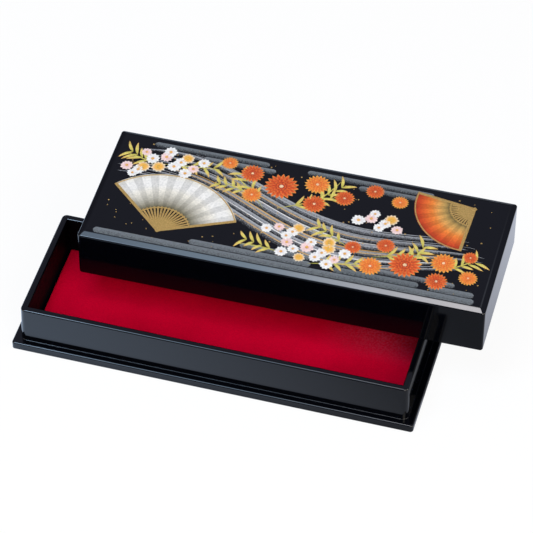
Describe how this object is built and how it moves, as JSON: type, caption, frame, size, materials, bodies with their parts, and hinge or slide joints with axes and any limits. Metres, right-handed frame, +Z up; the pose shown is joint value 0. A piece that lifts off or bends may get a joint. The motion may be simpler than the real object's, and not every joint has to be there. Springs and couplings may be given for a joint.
{
  "type": "lacquer pen box",
  "caption": "Long black lacquer pen box: a flanged tray with a red pile lining, and a bevelled, decorated lid that lifts off and fits down over the tray's walls.",
  "frame": {"origin": "centre of the base plate's underside", "axes": "+X along the tray's length, +Y to the tray's back, where the lid lies, +Z up"},
  "size_m": [0.2685, 0.1359, 0.0616],
  "materials": {
    "black_lacquer": "wooden board under polished black lacquer",
    "red_lining": "short-pile red lining cloth",
    "lining_card": "plain grey card",
    "bamboo": "plain split bamboo",
    "spline_wood": "plain hardwood"
  },
  "bodies": {
    "tray": {"base_plate": "black_lacquer", "tray_front_wall": "black_lacquer", "tray_back_wall": "black_lacquer", "tray_left_wall": "black_lacquer", "tray_right_wall": "black_lacquer", "tray_corner_splines": "spline_wood", "tray_base_pins": "bamboo", "lining_card": "lining_card", "floor_lining": "red_lining"},
    "lid": {"lid_top_panel": "black_lacquer", "lid_front_wall": "black_lacquer", "lid_back_wall": "black_lacquer", "lid_left_wall": "black_lacquer", "lid_right_wall": "black_lacquer", "lid_corner_splines": "spline_wood", "lid_top_pins": "bamboo"}
  },
  "joints": [
    {"name": "lid_lift", "type": "slide", "parent": "tray", "child": "lid", "axis": [0, 0, 1], "range_m": [0, 0.1]}
  ]
}
